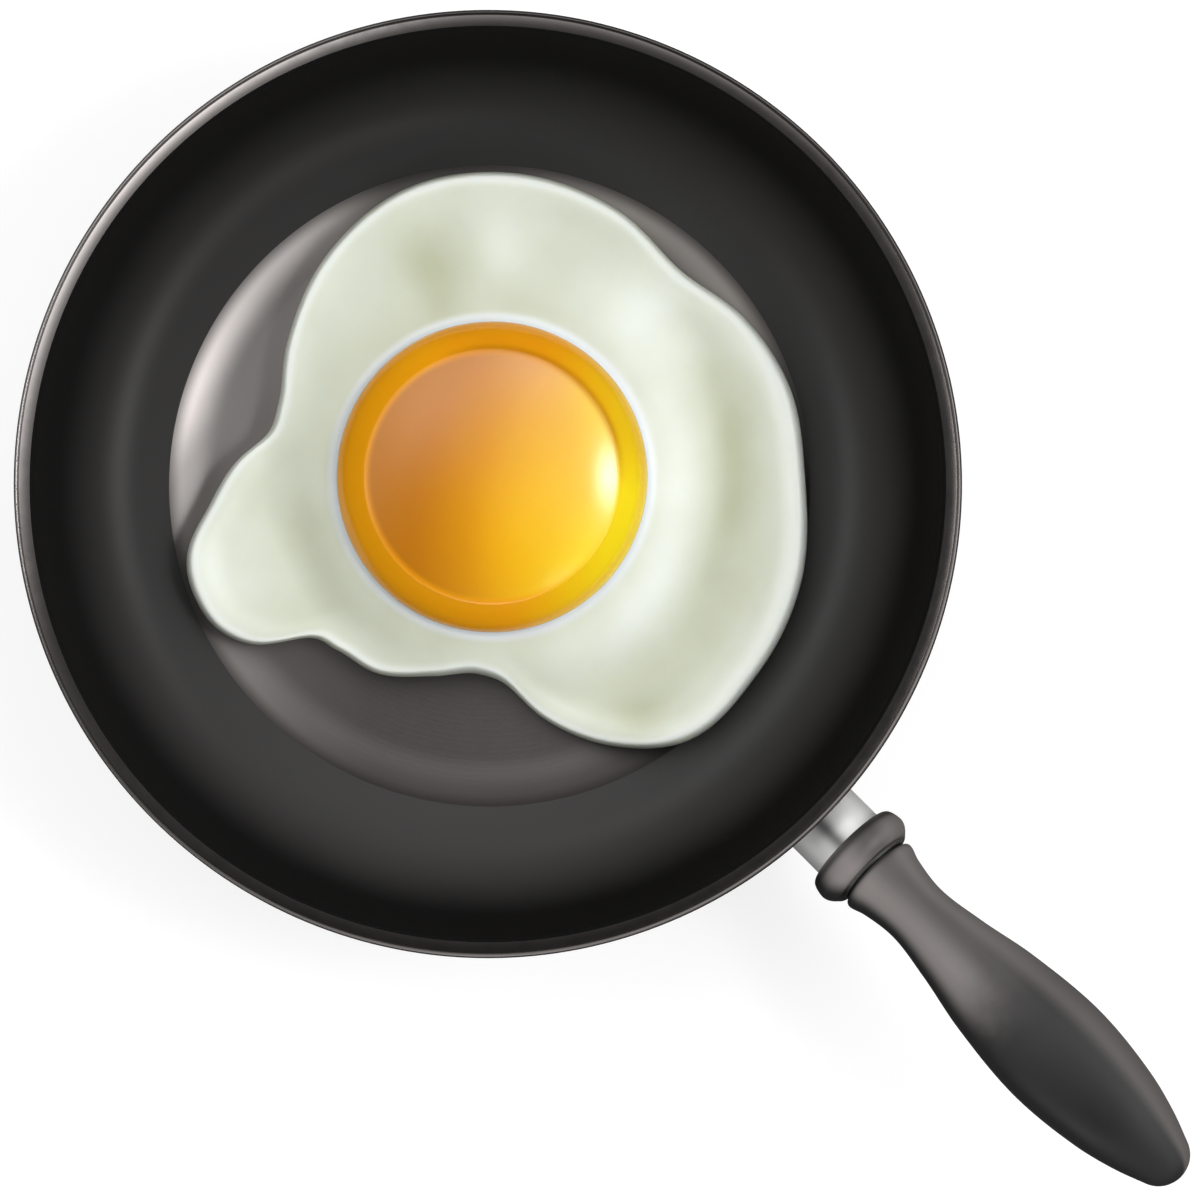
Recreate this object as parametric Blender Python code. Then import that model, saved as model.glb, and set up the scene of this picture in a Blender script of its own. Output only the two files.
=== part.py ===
"""A fried egg in the small non-stick frying pan it was cooked in.

The origin is the centre of the pan's flat underside, +Z is up, and the handle
points along +X. Every length is in metres. Headings are degrees about +Z,
counted from the handle's side.
"""

import math

import bmesh
import bpy
import numpy as np
from mathutils import Vector

MM = 0.001
GAP = 0.3 * MM                     # left between pieces that touch

# The pan: one pressing with a thick base, a flared wall and a rolled lip
RIM_RADIUS = 70.0 * MM
RIM_HEIGHT = 31.0 * MM
LIP_WIDTH = 2.9 * MM
WALL_THICKNESS = 2.2 * MM
FLOOR_RADIUS = 48.1 * MM
FLOOR_HEIGHT = 4.0 * MM
FLAT_RADIUS = 40.6 * MM            # past this the floor is dished, up to the wall's slope
FOOT_RADIUS = 44.5 * MM
FOOT_ROUNDING = 1.5 * MM
WALL_FOOT_ANGLE = 17.0             # slope where the wall leaves the floor, degrees
WALL_TOP_ANGLE = 80.0              # slope just under the lip
LIP_START_ANGLE = 172.0            # where the lip's round begins, on its inner side
LIP_END_ANGLE = -52.0              # where it meets the wall again, underneath
DISH_STEPS = 3
WALL_STEPS = 8
LIP_STEPS = 5
PAN_STEPS = 72

# The handle: a steel ferrule, a collar and a grip on one rising, flattening line
AXIS_START = 62.0 * MM             # distance from the pan's centre, inside the wall
AXIS_HEIGHT = 18.2 * MM
AXIS_SLOPE = 16.0                  # degrees, where the line leaves the pan
AXIS_END_SLOPE = 8.0               # degrees, at the tip
FERRULE_WIDTH = 12.2 * MM
FERRULE_THICKNESS = 9.6 * MM
FERRULE_END = 75.7 * MM
FERRULE_STEPS = 4
COLLAR_PROFILE = (                 # distance from the pan's centre, width, thickness
    (76.0 * MM, 14.8 * MM, 12.2 * MM),
    (76.7 * MM, 15.8 * MM, 13.2 * MM),
    (78.4 * MM, 16.4 * MM, 13.8 * MM),
    (79.8 * MM, 15.4 * MM, 12.8 * MM),
    (80.9 * MM, 12.8 * MM, 10.4 * MM),
)
GRIP_PROFILE = (
    (81.2 * MM, 12.4 * MM, 10.2 * MM),
    (84.4 * MM, 11.2 * MM, 9.5 * MM),
    (89.6 * MM, 9.9 * MM, 8.8 * MM),
    (96.8 * MM, 11.8 * MM, 9.5 * MM),
    (106.0 * MM, 15.4 * MM, 11.4 * MM),
    (118.8 * MM, 17.7 * MM, 13.0 * MM),
    (130.4 * MM, 15.3 * MM, 11.8 * MM),
    (136.6 * MM, 12.1 * MM, 9.8 * MM),
    (141.2 * MM, 8.64 * MM, 7.1 * MM),
)
GRIP_TIP = 144.2 * MM
TIP_RADIUS = 4.6 * MM              # the tip's round, seen from above
TIP_START_ANGLE = 20.0             # degrees turned where the round takes over from the side
TIP_FLATNESS = 0.82                # thickness over width
GRIP_STEPS = 13
TIP_STEPS = 4
HANDLE_SIDES = 28

# The yolk: a soft dome with a rounder shoulder round it, set in the white
YOLK_CENTRE = Vector((-0.6 * MM, 1.2 * MM))
YOLK_RADIUS = 23.25 * MM
YOLK_EQUATOR = 7.6 * MM            # above the pan's floor
YOLK_RISE = 8.9 * MM               # dome above the equator
YOLK_DEPTH = 6.2 * MM              # belly below the equator
DOME_RADIUS = 19.3 * MM            # where the dome turns into the shoulder
DOME_EDGE_ANGLE = 22.0
SHOULDER_ANGLE = 36.0
DOME_STEPS = 5
SHOULDER_STEPS = 4
BELLY_STEPS = 5
YOLK_SIDES = 56

# The white: how far it ran out from the yolk's centre at each heading
OUTLINE = (
    (8, 49.5), (25, 49.0), (45, 46.9), (62, 46.6), (77, 44.8), (92, 42.0), (110, 44.3),
    (133, 45.8), (152, 45.2), (170, 42.0), (192, 36.8), (206, 34.0), (214, 34.4),
    (222, 38.8), (231, 42.9), (239, 47.2), (248, 48.1), (255, 46.7), (260, 43.7),
    (266, 36.7), (273, 34.9), (284, 34.2), (298, 31.2), (311, 29.6), (319, 31.3),
    (327, 37.0), (340, 44.6), (350, 48.8),
)
THIN_HEIGHT = 3.9 * MM             # the thin white that ran out
THICK_HEIGHT = 6.8 * MM            # the thick white that stayed round the yolk
THICK_EDGE = (                     # heading, middle of its side, half that side's length
    (10, 33.5, 3.0), (45, 33.0, 3.0), (75, 35.0, 3.5), (95, 38.0, 5.5), (135, 38.5, 7.5),
    (180, 33.0, 7.0), (220, 29.0, 4.0), (270, 28.0, 5.0), (310, 30.0, 5.0), (340, 32.0, 3.5),
)
SWELLS = (                         # heading, distance, height and width of each soft lump
    (243, 38.0, 1.2, 7.0), (150, 32.8, -0.8, 4.5), (133, 37.0, 0.4, 5.0),
)
BEAD_HEIGHT = 0.8 * MM             # the swollen edge
BEAD_INSET = 3.6 * MM
BEAD_WIDTH = 2.4 * MM
EDGE_HEIGHT = 1.5 * MM             # widest level of the rounded edge
EDGE_TUCK = 1.2 * MM               # how far the edge curls in underneath
EDGE_ROUNDNESS = 0.8               # length of the edge's round, in heights
CONTACT_RISE = 0.5 * MM            # the white climbs the yolk a little
CONTACT_WIDTH = 0.9 * MM
WHITE_SIDES = 84
WHITE_UNDER_STEPS = 3
WHITE_TUCK_STEPS = 2
WHITE_TOP_STEPS = 9


def clear_scene():
    for thing in list(bpy.data.objects):
        bpy.data.objects.remove(thing, do_unlink=True)


def material(name, colour, roughness, metallic=0.0):
    surface = bpy.data.materials.new(name)
    surface.use_nodes = True
    shader = surface.node_tree.nodes["Principled BSDF"]
    shader.inputs["Base Color"].default_value = (*colour, 1.0)
    shader.inputs["Roughness"].default_value = roughness
    shader.inputs["Metallic"].default_value = metallic
    return surface


def add_object(name, bm, surface, crease_angle=40.0):
    """Put a finished mesh in the scene, facing outwards and shaded round."""
    bmesh.ops.recalc_face_normals(bm, faces=bm.faces)
    mesh = bpy.data.meshes.new(name)
    bm.to_mesh(mesh)
    bm.free()
    mesh.materials.append(surface)
    mesh.shade_smooth()
    mesh.set_sharp_from_angle(angle=math.radians(crease_angle))
    thing = bpy.data.objects.new(name, mesh)
    bpy.context.scene.collection.objects.link(thing)
    return thing


def turned(profile, steps, centre=(0.0, 0.0)):
    """Spin a radius and height profile that starts and ends on the axis into a closed body."""
    bm = bmesh.new()
    corners = [bm.verts.new((centre[0] + radius, centre[1], height)) for radius, height in profile]
    edges = [bm.edges.new(pair) for pair in zip(corners, corners[1:])]
    bmesh.ops.spin(
        bm, geom=corners + edges, cent=(*centre, 0.0), axis=(0, 0, 1),
        angle=math.tau, steps=steps, use_merge=True,
    )
    bmesh.ops.remove_doubles(bm, verts=bm.verts, dist=1e-6)
    return bm


def wrapped(columns, rows, place):
    """Wrap a grid into a closed body: columns run round it, rows from one pole to the other."""
    bm = bmesh.new()
    bmesh.ops.create_grid(bm, x_segments=columns, y_segments=rows, size=0.5)
    for vert in bm.verts:
        column = round((vert.co.x + 0.5) * columns)
        row = round((vert.co.y + 0.5) * rows)
        vert.co = place(column % columns, row)
    bmesh.ops.remove_doubles(bm, verts=bm.verts, dist=1e-6)
    return bm


def direction(degrees):
    return Vector((math.cos(math.radians(degrees)), math.sin(math.radians(degrees))))


def bent_line(start, start_angle, end, end_angle, steps):
    """A curve that leaves start and reaches end at the given slopes, without the start point."""
    start, end = Vector(start), Vector(end)
    leave, arrive = direction(start_angle), direction(end_angle)
    corner = start + leave * (end - start).cross(arrive) / leave.cross(arrive)
    points = []
    for step in range(1, steps + 1):
        share = step / steps
        points.append(start.lerp(corner, share).lerp(corner.lerp(end, share), share))
    return points


def arc(centre, radius, first, last, steps):
    """Points on a round, from the first to the last angle, both ends kept."""
    turns = [first + (last - first) * step / steps for step in range(steps + 1)]
    return [Vector(centre) + radius * direction(turn) for turn in turns]


def lip_centre():
    return Vector((RIM_RADIUS - LIP_WIDTH / 2, RIM_HEIGHT - LIP_WIDTH / 2))


def floor_dish():
    """The floor's edge, from where it leaves the flat to where the wall begins."""
    flat_end = Vector((FLAT_RADIUS, FLOOR_HEIGHT))
    rise = (FLOOR_RADIUS - FLAT_RADIUS) / 2 * math.tan(math.radians(WALL_FOOT_ANGLE))
    wall_start = (FLOOR_RADIUS, FLOOR_HEIGHT + rise)
    return [flat_end] + bent_line(flat_end, 0.0, wall_start, WALL_FOOT_ANGLE, DISH_STEPS)


def inner_wall():
    """The wall's inner side, from the floor's edge up to the lip."""
    start = floor_dish()[-1]
    end = lip_centre() + LIP_WIDTH / 2 * direction(LIP_START_ANGLE)
    return [start] + bent_line(start, WALL_FOOT_ANGLE, end, WALL_TOP_ANGLE, WALL_STEPS)


def outer_wall():
    """The inner side moved out by the wall's thickness, from the foot's edge up to the lip."""
    inner = inner_wall()
    outer = []
    for before, here, after in zip(inner, inner[1:], inner[2:]):
        along = (after - before).normalized()
        outer.append(here + WALL_THICKNESS * Vector((along.y, -along.x)))
    return outer


def pan_surface(radius):
    """Height of the pan's inside at a distance from its centre."""
    line = floor_dish() + inner_wall()[1:]
    return float(np.interp(radius, [point.x for point in line], [point.y for point in line]))


def pan_side(height):
    """Distance from the pan's centre to its outside at a height."""
    line = outer_wall()
    return float(np.interp(height, [point.y for point in line], [point.x for point in line]))


def pan_body():
    lip = arc(lip_centre(), LIP_WIDTH / 2, LIP_START_ANGLE, LIP_END_ANGLE, LIP_STEPS)
    foot = arc(
        (FOOT_RADIUS - FOOT_ROUNDING, FOOT_ROUNDING), FOOT_ROUNDING, 0.0, -90.0, 3,
    )
    profile = [Vector((0.0, FLOOR_HEIGHT))]
    profile += floor_dish()
    profile += inner_wall()[1:]
    profile += lip[1:]
    profile += reversed(outer_wall())
    profile += foot
    profile.append(Vector((0.0, 0.0)))
    surface = material("non_stick_coating", (0.03, 0.029, 0.028), 0.4, 0.3)
    return add_object("pan_body", turned(profile, PAN_STEPS), surface, 30.0)


def axis_point(distance):
    """A point on the handle's centre line, and its slope there in radians."""
    share = (distance - AXIS_START) / (GRIP_TIP - AXIS_START)
    slope = math.radians(AXIS_SLOPE + (AXIS_END_SLOPE - AXIS_SLOPE) * share)
    mean = math.radians(AXIS_SLOPE + (AXIS_END_SLOPE - AXIS_SLOPE) * share / 2)
    return Vector((distance, 0.0, AXIS_HEIGHT + math.tan(mean) * (distance - AXIS_START))), slope


def handle_ring_point(station, column):
    """A point on the oval section at a station of distance, width and thickness."""
    distance, width, thickness = station
    centre, slope = axis_point(distance)
    angle = math.tau * column / HANDLE_SIDES
    side = math.cos(angle) * width / 2
    lift = math.sin(angle) * thickness / 2
    return centre + Vector((-lift * math.sin(slope), side, lift * math.cos(slope)))


def smooth_stations(profile, steps):
    """The profile's stations refined into a smooth run of the given number of steps."""
    table = np.array(profile)
    distance = np.linspace(table[0, 0], table[-1, 0], steps + 1)
    columns = [distance]
    for values in table[:, 1:].T:
        columns.append(smooth_curve(table[:, 0], values, distance))
    return np.stack(columns, axis=1)


def smooth_curve(at, values, query):
    """A smooth curve through values, at steps that need not be even."""
    rise = np.diff(values) / np.diff(at)
    slope = np.concatenate(([rise[0]], (rise[1:] + rise[:-1]) / 2, [rise[-1]]))
    return hermite(at, values, slope, query)


def closed_smooth_curve(at, values, query):
    """A smooth closed curve through values at headings in degrees."""
    at = np.concatenate((at[-2:] - 360.0, at, at[:2] + 360.0))
    values = np.concatenate((values[-2:], values, values[:2]))
    query = (np.asarray(query) - at[2]) % 360.0 + at[2]
    span = np.diff(at)
    rise = np.diff(values) / span
    slope = np.zeros_like(values)
    slope[1:-1] = (rise[:-1] * span[1:] + rise[1:] * span[:-1]) / (span[1:] + span[:-1])
    return hermite(at, values, slope, query)


def hermite(at, values, slope, query):
    index = np.clip(np.searchsorted(at, query, side="right") - 1, 0, len(at) - 2)
    span = at[index + 1] - at[index]
    share = (query - at[index]) / span
    start = values[index] * (1 + 2 * share) + slope[index] * span * share
    end = values[index + 1] * (3 - 2 * share) - slope[index + 1] * span * (1 - share)
    return start * (1 - share) ** 2 + end * share ** 2


def handle_piece(name, stations, surface):
    """A solid through oval stations, closed over a point at each end."""
    def place(column, row):
        if row in (0, len(stations) + 1):
            return axis_point(stations[0][0] if row == 0 else stations[-1][0])[0]
        return handle_ring_point(stations[row - 1], column)

    return add_object(name, wrapped(HANDLE_SIDES, len(stations) + 1, place), surface, 35.0)


def ferrule():
    """An oval steel tube whose end is cut to the curve of the pan's side."""
    def side_start(column):
        near, far = AXIS_START, FERRULE_END
        for _ in range(40):
            middle = (near + far) / 2
            point = handle_ring_point((middle, FERRULE_WIDTH, FERRULE_THICKNESS), column)
            if math.hypot(point.x, point.y) < pan_side(point.z) + GAP:
                near = middle
            else:
                far = middle
        return far

    def place(column, row):
        if row == 0:
            centre = axis_point(AXIS_START)[0]
            return Vector((pan_side(centre.z) + 2 * GAP, 0.0, centre.z))
        if row == FERRULE_STEPS + 2:
            return axis_point(FERRULE_END)[0]
        share = (row - 1) / FERRULE_STEPS
        start = side_start(column)
        distance = start + (FERRULE_END - start) * share
        return handle_ring_point((distance, FERRULE_WIDTH, FERRULE_THICKNESS), column)

    surface = material("polished_steel", (0.75, 0.75, 0.74), 0.15, 1.0)
    return add_object("ferrule", wrapped(HANDLE_SIDES, FERRULE_STEPS + 2, place), surface, 35.0)


def handle_collar(surface):
    return handle_piece("handle_collar", COLLAR_PROFILE, surface)


def handle_grip(surface):
    """A waisted, swelling grip with a rounded tip."""
    stations = [tuple(row) for row in smooth_stations(GRIP_PROFILE, GRIP_STEPS)]
    for step in range(1, TIP_STEPS):
        turn = math.radians(TIP_START_ANGLE + (90.0 - TIP_START_ANGLE) * step / TIP_STEPS)
        width = 2 * TIP_RADIUS * math.cos(turn)
        reach = GRIP_TIP - TIP_RADIUS * (1 - math.sin(turn))
        stations.append((reach, width, width * TIP_FLATNESS))
    stations.append((GRIP_TIP, TIP_RADIUS * 0.2, TIP_RADIUS * 0.2 * TIP_FLATNESS))
    return handle_piece("handle_grip", stations, surface)


def yolk_belly(grow=0.0):
    """The yolk's underside, from its equator down to the axis, as radius and height."""
    radius, depth = YOLK_RADIUS + grow, YOLK_DEPTH + grow
    level = FLOOR_HEIGHT + YOLK_EQUATOR
    points = []
    for step in range(BELLY_STEPS + 1):
        angle = math.pi / 2 * step / BELLY_STEPS
        points.append(Vector((radius * math.cos(angle), level - depth * math.sin(angle))))
    points[-1].x = 0.0
    return points


def egg_yolk():
    """A shallow dome, a steeper shoulder round it, and a rounded belly."""
    equator = FLOOR_HEIGHT + YOLK_EQUATOR
    top = Vector((0.0, equator + YOLK_RISE))
    drop = DOME_RADIUS * math.tan(math.radians(DOME_EDGE_ANGLE / 2))
    edge = Vector((DOME_RADIUS, top.y - drop))
    dome = bent_line(top, 0.0, edge, -DOME_EDGE_ANGLE, DOME_STEPS)
    side = bent_line(edge, -SHOULDER_ANGLE, (YOLK_RADIUS, equator), -90.0, SHOULDER_STEPS)
    profile = [top] + dome + side + yolk_belly()[1:]
    surface = material("egg_yolk", (0.85, 0.38, 0.03), 0.2)
    return add_object("egg_yolk", turned(profile, YOLK_SIDES, YOLK_CENTRE), surface)


def ease(share):
    share = min(max(share, 0.0), 1.0)
    return share * share * (3 - 2 * share)


def around_yolk(table, heading):
    """The columns of a table of headings and sizes, read at one heading on smooth closed curves."""
    at, *columns = np.array(table, dtype=float).T
    return [float(closed_smooth_curve(at, column * MM, heading)) for column in columns]


def swell_height(heading, radius):
    """What the soft lumps and hollows add to the white's height."""
    place = direction(heading) * radius
    total = 0.0
    for swell_heading, distance, height, width in SWELLS:
        away = (place - direction(swell_heading) * distance * MM).length
        total += height * MM * math.exp(-((away / (width * MM)) ** 2))
    return total


def white_height(heading, radius, reach):
    """Height of the white above the pan under it, radius from the yolk's centre."""
    from_edge = max(reach - radius, 0.0)
    side, half_length = around_yolk(THICK_EDGE, heading)
    thick = ease((side + half_length - radius) / (2 * half_length))
    body = THIN_HEIGHT + (THICK_HEIGHT - THIN_HEIGHT) * thick + swell_height(heading, radius)
    body += BEAD_HEIGHT * (1 - thick) * math.exp(-((from_edge - BEAD_INSET) / BEAD_WIDTH) ** 2)
    inside = min(from_edge / (EDGE_ROUNDNESS * body), 1.0)
    height = EDGE_HEIGHT + (body - EDGE_HEIGHT) * math.sqrt(1 - (1 - inside) ** 2)
    return height + CONTACT_RISE * math.exp(-(radius - YOLK_RADIUS) / CONTACT_WIDTH)


def white_section(heading, reach):
    """The white's cut face at a heading: underside, rounded edge, top, then the yolk's hollow."""
    def rest_level(radius):
        """The pan's inside below a point of the white, with the gap."""
        return pan_surface((YOLK_CENTRE + direction(heading) * radius).length) + GAP

    foot = reach - EDGE_TUCK
    section = []
    for step in range(WHITE_UNDER_STEPS + 1):
        radius = foot * (step / WHITE_UNDER_STEPS) ** 0.6
        section.append((radius, rest_level(radius)))
    for step in range(1, WHITE_TUCK_STEPS + 1):
        angle = math.pi / 2 * step / WHITE_TUCK_STEPS
        rise = (EDGE_HEIGHT - GAP) * (1 - math.cos(angle))
        section.append((foot + EDGE_TUCK * math.sin(angle), rest_level(foot) + rise))

    hollow = yolk_belly(GAP)
    brim = hollow[0].x
    for step in range(1, WHITE_TOP_STEPS + 1):
        radius = reach + (brim - reach) * (1 - math.cos(math.pi / 2 * step / WHITE_TOP_STEPS))
        level = rest_level(min(radius, foot)) - GAP
        section.append((radius, level + white_height(heading, radius, reach)))
    for point in hollow[1:]:
        section.append((point.x, point.y))
    return section


def egg_white():
    """The cooked white, lying on the pan's floor with a hollow for the yolk."""
    headings = [360.0 * side / WHITE_SIDES for side in range(WHITE_SIDES)]
    sections = [white_section(heading, *around_yolk(OUTLINE, heading)) for heading in headings]
    rows = len(sections[0]) - 1

    def place(column, row):
        radius, height = sections[column][row]
        return (*(YOLK_CENTRE + direction(headings[column]) * radius), height)

    surface = material("egg_white", (0.72, 0.74, 0.64), 0.35)
    return add_object("egg_white", wrapped(WHITE_SIDES, rows, place), surface, 60.0)


clear_scene()
pan_body()
ferrule()
handle_plastic = material("handle_plastic", (0.05, 0.045, 0.043), 0.35)
handle_collar(handle_plastic)
handle_grip(handle_plastic)
egg_white()
egg_yolk()
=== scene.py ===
import math

import bmesh
import bpy
import numpy as np
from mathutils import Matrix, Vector, noise


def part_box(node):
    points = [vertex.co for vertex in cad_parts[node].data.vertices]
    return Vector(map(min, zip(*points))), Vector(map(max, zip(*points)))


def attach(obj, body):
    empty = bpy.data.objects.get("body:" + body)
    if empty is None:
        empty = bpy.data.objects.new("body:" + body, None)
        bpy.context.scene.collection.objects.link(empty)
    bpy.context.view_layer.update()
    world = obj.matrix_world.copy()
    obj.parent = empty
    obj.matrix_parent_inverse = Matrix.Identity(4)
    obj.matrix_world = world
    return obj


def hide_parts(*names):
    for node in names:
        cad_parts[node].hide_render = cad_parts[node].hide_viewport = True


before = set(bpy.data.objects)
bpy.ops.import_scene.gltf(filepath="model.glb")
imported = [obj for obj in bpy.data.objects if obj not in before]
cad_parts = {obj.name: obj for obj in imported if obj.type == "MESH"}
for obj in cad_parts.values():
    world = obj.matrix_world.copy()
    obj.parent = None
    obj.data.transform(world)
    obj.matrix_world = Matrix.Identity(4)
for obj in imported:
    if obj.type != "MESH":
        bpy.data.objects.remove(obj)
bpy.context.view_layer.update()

MM = 0.001

# ---------------------------------------------------------------- pan pressing
# The pan is pressed and turned from one aluminium blank: a thick flat base, a wall that
# flares in one sweep, and a rounded foot. Outside it wears a stoved charcoal enamel.

PAN_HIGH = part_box("pan_body")[1]
RIM_RADIUS = PAN_HIGH.x
RIM_HEIGHT = PAN_HIGH.z
LIP_WIDTH = 2.9 * MM
WALL_THICKNESS = 2.2 * MM
COAT_THICKNESS = 0.25 * MM
FLOOR_RADIUS = 48.1 * MM
FLOOR_HEIGHT = 4.0 * MM
FLAT_RADIUS = 40.6 * MM
FOOT_RADIUS = 44.5 * MM
FOOT_ROUNDING = 1.5 * MM
FOOT_STEPS = 12
PLATE_RADIUS = 42.6 * MM
PLATE_RECESS = 0.3 * MM
WALL_FOOT_ANGLE = 17.0
WALL_TOP_ANGLE = 80.0
LIP_JOIN_ANGLE = 172.0
DISH_STEPS = 16
WALL_STEPS = 60
TURN_STEPS = 256
ENAMEL = (0.030, 0.028, 0.027)
ENAMEL_FLECK = (0.075, 0.071, 0.069)


class Signal:
    """A shader socket that can be added, scaled and shaped like a number."""

    def __init__(self, finish, socket):
        self.finish = finish
        self.socket = socket

    def math(self, operation, *values):
        return self.finish.node("ShaderNodeMath", {"operation": operation}, dict(enumerate(values)))

    def __add__(self, other):
        return self.math("ADD", self, other)

    def __sub__(self, other):
        return self.math("SUBTRACT", self, other)

    def __rsub__(self, other):
        return self.math("SUBTRACT", other, self)

    def __mul__(self, other):
        return self.math("MULTIPLY", self, other)

    def __truediv__(self, other):
        return self.math("DIVIDE", self, other)

    def __pow__(self, other):
        return self.math("POWER", self, other)

    __radd__ = __add__
    __rmul__ = __mul__

    def wave(self, pitch):
        """Even ripples, from -1 to 1, one every pitch."""
        return self.math("SINE", self * (math.tau / pitch))

    def power_of_e(self):
        return self.math("EXPONENT", self)

    def bell(self, reach):
        """1 at zero, falling away to nothing about two reaches to either side."""
        share = self / reach
        return (share * share * -1.0).power_of_e()

    def rise(self, low, high):
        """0 below low, 1 above high, and a smooth step between."""
        sockets = {"Value": self, "From Min": low, "From Max": high}
        return self.finish.node("ShaderNodeMapRange", {"interpolation_type": "SMOOTHSTEP"}, sockets)


class Finish:
    """A node tree written as expressions, with place as the point that it colours."""

    def __init__(self, owner, place="Object"):
        owner.use_nodes = True
        self.owner = owner
        self.tree = owner.node_tree
        self.place = self.node("ShaderNodeTexCoord", output=place)

    def node(self, kind, settings={}, sockets={}, output=0):
        node = self.tree.nodes.new(kind)
        for name, value in settings.items():
            setattr(node, name, value)
        for name, value in sockets.items():
            self.feed(node.inputs[name], value)
        return Signal(self, node.outputs[output])

    def feed(self, socket, value):
        if isinstance(value, Signal):
            self.tree.links.new(value.socket, socket)
        elif socket.type == "RGBA":
            socket.default_value = (*value, 1.0)
        else:
            socket.default_value = value

    def axes(self):
        """The x, y and z of a point of the piece."""
        return [self.node("ShaderNodeSeparateXYZ", {}, {0: self.place}, axis) for axis in range(3)]

    def moved(self, shift, scale=(1.0, 1.0, 1.0)):
        sockets = {"Vector": self.place, "Location": shift, "Scale": scale}
        return self.node("ShaderNodeMapping", {}, sockets)

    def grain(self, size, detail=2.0, roughness=0.5, place=None):
        """Soft noise from 0 to 1 with blotches of a size in metres."""
        sockets = {
            "Vector": place or self.place, "Scale": 1.0 / size, "Detail": detail,
            "Roughness": roughness,
        }
        return self.node("ShaderNodeTexNoise", {}, sockets)

    def mix(self, share, first, second):
        """A colour between two colours."""
        return self.node("ShaderNodeMix", {"data_type": "RGBA"}, {0: share, 6: first, 7: second}, 2)

    def relief(self, height, depth):
        """Surface relief of a depth in metres, from a height signal of 0 to 1."""
        return self.node("ShaderNodeBump", {}, {"Height": height, "Distance": depth})

    def wear(self, channels):
        """Give the surface its channels, each a number, a colour or a signal."""
        for name, value in channels.items():
            self.feed(self.tree.nodes["Principled BSDF"].inputs[name], value)
        return self.owner


def new_finish(name):
    return Finish(bpy.data.materials.new(name))


def add_piece(name, bm, material, node, crease=35.0):
    """Put a finished mesh in the scene, riding on the part in place of a CAD node."""
    bmesh.ops.remove_doubles(bm, verts=bm.verts, dist=1e-7)
    bmesh.ops.recalc_face_normals(bm, faces=bm.faces)
    mesh = bpy.data.meshes.new(name)
    bm.to_mesh(mesh)
    bm.free()
    mesh.materials.append(material)
    mesh.shade_smooth()
    mesh.set_sharp_from_angle(angle=math.radians(crease))
    piece = bpy.data.objects.new(name, mesh)
    bpy.context.scene.collection.objects.link(piece)
    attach(piece, "root")
    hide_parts(node)
    return piece


def turned(profile, steps=TURN_STEPS, centre=(0.0, 0.0), ring=False):
    """Spin a radius and height profile about a vertical axis into a closed body."""
    bm = bmesh.new()
    corners = [bm.verts.new((centre[0] + radius, centre[1], height)) for radius, height in profile]
    edges = [bm.edges.new(pair) for pair in zip(corners, corners[1:])]
    if ring:
        edges.append(bm.edges.new((corners[-1], corners[0])))
    bmesh.ops.spin(
        bm, geom=corners + edges, cent=(*centre, 0.0), axis=(0, 0, 1),
        angle=math.tau, steps=steps, use_merge=True,
    )
    return bm


def heading_vector(degrees):
    return Vector((math.cos(math.radians(degrees)), math.sin(math.radians(degrees))))


def bent_line(start, start_angle, end, end_angle, steps):
    """A curve that leaves start and reaches end at the given slopes, without the start point."""
    start, end = Vector(start), Vector(end)
    leave, arrive = heading_vector(start_angle), heading_vector(end_angle)
    corner = start + leave * (end - start).cross(arrive) / leave.cross(arrive)
    points = []
    for step in range(1, steps + 1):
        share = step / steps
        points.append(start.lerp(corner, share).lerp(corner.lerp(end, share), share))
    return points


def arc(centre, radius, first, last, steps):
    """Points on a round, from the first to the last angle, both ends kept."""
    turns = [first + (last - first) * step / steps for step in range(steps + 1)]
    return [Vector(centre) + radius * heading_vector(turn) for turn in turns]


def moved_out(line, thickness):
    """A line moved to its right by a thickness, without its two end points."""
    moved = []
    for before, here, after in zip(line, line[1:], line[2:]):
        along = (after - before).normalized()
        moved.append(here + thickness * Vector((along.y, -along.x)))
    return moved


LIP_CENTRE = Vector((RIM_RADIUS - LIP_WIDTH / 2, RIM_HEIGHT - LIP_WIDTH / 2))
WALL_END = LIP_CENTRE + heading_vector(LIP_JOIN_ANGLE) * LIP_WIDTH / 2
DISH_RISE = (FLOOR_RADIUS - FLAT_RADIUS) / 2 * math.tan(math.radians(WALL_FOOT_ANGLE))
FLAT_END = Vector((FLAT_RADIUS, FLOOR_HEIGHT))
WALL_START = Vector((FLOOR_RADIUS, FLOOR_HEIGHT + DISH_RISE))
FLOOR = [Vector((0.0, FLOOR_HEIGHT)), FLAT_END]
FLOOR += bent_line(FLAT_END, 0.0, WALL_START, WALL_FOOT_ANGLE, DISH_STEPS)
WALL = [WALL_START]
WALL += bent_line(WALL_START, WALL_FOOT_ANGLE, WALL_END, WALL_TOP_ANGLE, WALL_STEPS)
WALL.append(WALL_END + heading_vector(WALL_TOP_ANGLE) * LIP_WIDTH / 3)
INSIDE = FLOOR + WALL[1:]

pressing_profile = [Vector((0.0, FLOOR_HEIGHT - COAT_THICKNESS))]
pressing_profile += moved_out(INSIDE, COAT_THICKNESS)
pressing_profile += reversed(moved_out(WALL, WALL_THICKNESS))
foot_centre = (FOOT_RADIUS - FOOT_ROUNDING, FOOT_ROUNDING)
pressing_profile += arc(foot_centre, FOOT_ROUNDING, 0.0, -90.0, FOOT_STEPS)
pressing_profile.append(Vector((PLATE_RADIUS, 0.0)))
pressing_profile.append(Vector((PLATE_RADIUS, PLATE_RECESS)))
pressing_profile.append(Vector((0.0, PLATE_RECESS)))

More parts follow.
